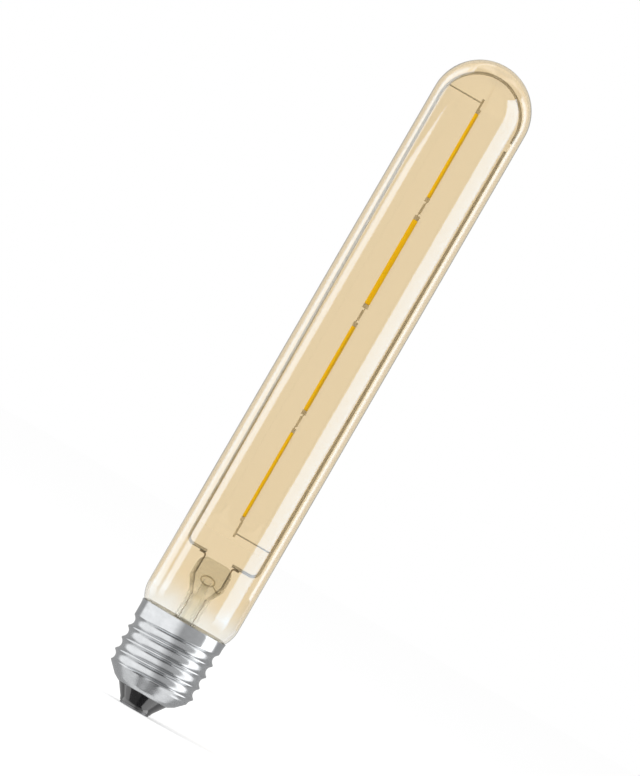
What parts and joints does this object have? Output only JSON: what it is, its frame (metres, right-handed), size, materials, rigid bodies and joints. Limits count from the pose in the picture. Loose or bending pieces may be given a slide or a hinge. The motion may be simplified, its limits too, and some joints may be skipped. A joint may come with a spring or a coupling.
{
  "type": "tubular filament light bulb",
  "caption": "Long gold-tinted glass tube with a domed end, a string of filaments on its axis and a screw cap.",
  "frame": {"origin": "middle of the centre contact's outer face", "axes": "+Z along the bulb's axis from the contact to the dome; the support wires and the flat of the press lie in the XZ plane; the blown hole of the press faces -Y"},
  "size_m": [0.0288, 0.0288, 0.2068],
  "materials": {
    "amber_glass": "blown glass with a thin gold coating that fades out at the neck",
    "clear_glass": "pressed and drawn clear glass, fire-polished",
    "nickel_shell": "rolled sheet, bright nickel plate",
    "contact_metal": "stamped brass, tinned",
    "black_glass": "moulded black glass, glossy",
    "cap_cement": "baked cement, matt",
    "support_metal": "nickel-plated iron wire, dulled by heat",
    "lead_metal": "copper-clad iron wire, dulled by heat",
    "clip_metal": "stamped and plated sheet",
    "carrier_ceramic": "sintered alumina strip",
    "diode_crystal": "sawn crystal with a gold bond wire",
    "phosphor_silicone": "dispensed silicone with yellow phosphor",
    "circuit_board": "glass-fibre board with green mask",
    "black_epoxy": "moulded epoxy",
    "chip_ceramic": "thick film on ceramic",
    "capacitor_can": "drawn can in a shrunk black sleeve",
    "resistor_lacquer": "dipped lacquer over a wound ceramic rod",
    "tinned_wire": "tinned wire"
  },
  "bodies": {
    "root": {"bottom_arm": "support_metal", "bridge_rectifier": "black_epoxy", "cap_insulator": "black_glass", "cap_shell": "nickel_shell", "cement_ring": "cap_cement", "centre_contact": "contact_metal", "driver_board": "circuit_board", "driver_chip": "black_epoxy", "exhaust_tube": "clear_glass", "filament_1_coat": "phosphor_silicone", "filament_1_dies": "diode_crystal", "filament_1_lower_clip": "clip_metal", "filament_1_strip": "carrier_ceramic", "filament_1_upper_clip": "clip_metal", "filament_2_coat": "phosphor_silicone", "filament_2_dies": "diode_crystal", "filament_2_lower_clip": "clip_metal", "filament_2_strip": "carrier_ceramic", "filament_2_upper_clip": "clip_metal", "filament_3_coat": "phosphor_silicone", "filament_3_dies": "diode_crystal", "filament_3_lower_clip": "clip_metal", "filament_3_strip": "carrier_ceramic", "filament_3_upper_clip": "clip_metal", "filament_4_coat": "phosphor_silicone", "filament_4_dies": "diode_crystal", "filament_4_lower_clip": "clip_metal", "filament_4_strip": "carrier_ceramic", "filament_4_upper_clip": "clip_metal", "fuse_resistor": "resistor_lacquer", "glass_envelope": "amber_glass", "lead_wire_left": "lead_metal", "lead_wire_right": "lead_metal", "sense_resistor": "chip_ceramic", "shell_lead": "tinned_wire", "smoothing_capacitor": "capacitor_can", "stem_glass": "clear_glass", "support_wire_long": "support_metal", "support_wire_short": "support_metal", "top_arm": "support_metal"}
  },
  "joints": []
}
